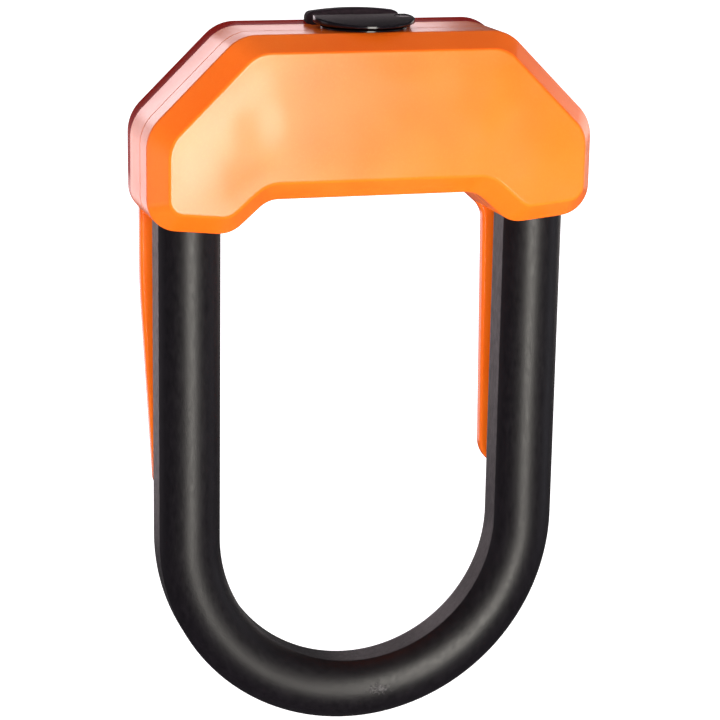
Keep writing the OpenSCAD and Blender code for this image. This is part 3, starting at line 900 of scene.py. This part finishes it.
def make_world():
    """White to the camera; to the object a pale room, brighter behind and dim at the sides."""
    world = bpy.data.worlds.new("room")
    bpy.context.scene.world = world
    world.use_nodes = True
    tree = world.node_tree
    tree.nodes.clear()

    def new(kind):
        return tree.nodes.new(kind)

    coords = new("ShaderNodeTexCoord")
    split = new("ShaderNodeSeparateXYZ")
    tree.links.new(coords.outputs["Generated"], split.inputs[0])
    back = new("ShaderNodeMapRange")
    for key, value in (("From Min", 0.2), ("From Max", 0.9), ("To Min", 0.035), ("To Max", 0.12)):
        back.inputs[key].default_value = value
    tree.links.new(split.outputs["Y"], back.inputs["Value"])
    path = new("ShaderNodeLightPath")
    strength = new("ShaderNodeMix")
    tree.links.new(path.outputs["Is Glossy Ray"], strength.inputs["Factor"])
    strength.inputs["A"].default_value = AMBIENT
    tree.links.new(back.outputs["Result"], strength.inputs["B"])
    room = new("ShaderNodeBackground")
    room.inputs["Color"].default_value = (0.97, 0.95, 1.0, 1.0)
    tree.links.new(strength.outputs["Result"], room.inputs["Strength"])
    plain = new("ShaderNodeBackground")
    plain.inputs["Color"].default_value = (1.0, 1.0, 1.0, 1.0)
    mix = new("ShaderNodeMixShader")
    tree.links.new(path.outputs["Is Camera Ray"], mix.inputs["Fac"])
    tree.links.new(room.outputs[0], mix.inputs[1])
    tree.links.new(plain.outputs[0], mix.inputs[2])
    out = new("ShaderNodeOutputWorld")
    tree.links.new(mix.outputs[0], out.inputs["Surface"])


AZIMUTH, ELEVATION, ROLL = (math.radians(a) for a in (16.8676, 14.6122, -0.9901))
AIM = Vector((-0.00255, -0.01049, -0.04135))
DISTANCE = 0.69207
LENS = 119.695


def make_camera():
    """Looks from the front left and above."""
    data = bpy.data.cameras.new("camera")
    data.lens = LENS
    data.sensor_width = 36.0
    data.clip_start, data.clip_end = 0.05, 30
    camera = bpy.data.objects.new("camera", data)
    level = math.cos(ELEVATION)
    forward = Vector((math.sin(AZIMUTH) * level, math.cos(AZIMUTH) * level, -math.sin(ELEVATION)))
    side = forward.cross(Vector((0, 0, 1))).normalized()
    up = side.cross(forward) * math.cos(ROLL) + side * math.sin(ROLL)
    turn = Matrix((forward.cross(up), up, -forward)).transposed().to_4x4()
    camera.matrix_world = Matrix.Translation(AIM - forward * DISTANCE) @ turn
    bpy.context.scene.collection.objects.link(camera)
    bpy.context.scene.camera = camera


make_floor()
make_world()
make_camera()
area_light("key", (0.06, -1.25, -0.02), (0.06, 0, -0.02), 0.42, 1.1, 22, (1.0, 0.96, 0.88))
area_light("back_left", (-0.32, 1.25, -0.04), (0, 0, 0), 0.40, 0.92, 2.2, (1.0, 0.84, 0.88))
area_light("back_right", (1.05, 0.75, 0.05), (0, 0, 0), 0.45, 0.7, 1.6, (1.0, 0.93, 0.90))
area_light("top_back", (0.04, 1.25, 0.29), (0, 0, 0.05), 0.82, 0.30, 1.4, (1.0, 0.84, 0.88))
area_light("right", (1.25, -0.20, -0.12), (0, 0, -0.05), 0.55, 0.9, 1.1, (0.90, 0.91, 1.0))
area_light("left", (-1.20, 0.55, -0.12), (0, 0, -0.05), 0.55, 0.9, 1.0, (1.0, 0.90, 0.97))
fill = area_light("fill", (-0.45, -1.00, -0.75), (0, 0, -0.05), 0.6, 0.6, 19, (1.0, 0.98, 0.95))
# The fill only softens the shadows; it leaves no highlight of its own
fill.visible_glossy = False

view = bpy.context.scene.view_settings
view.view_transform = "Standard"
view.look = "None"
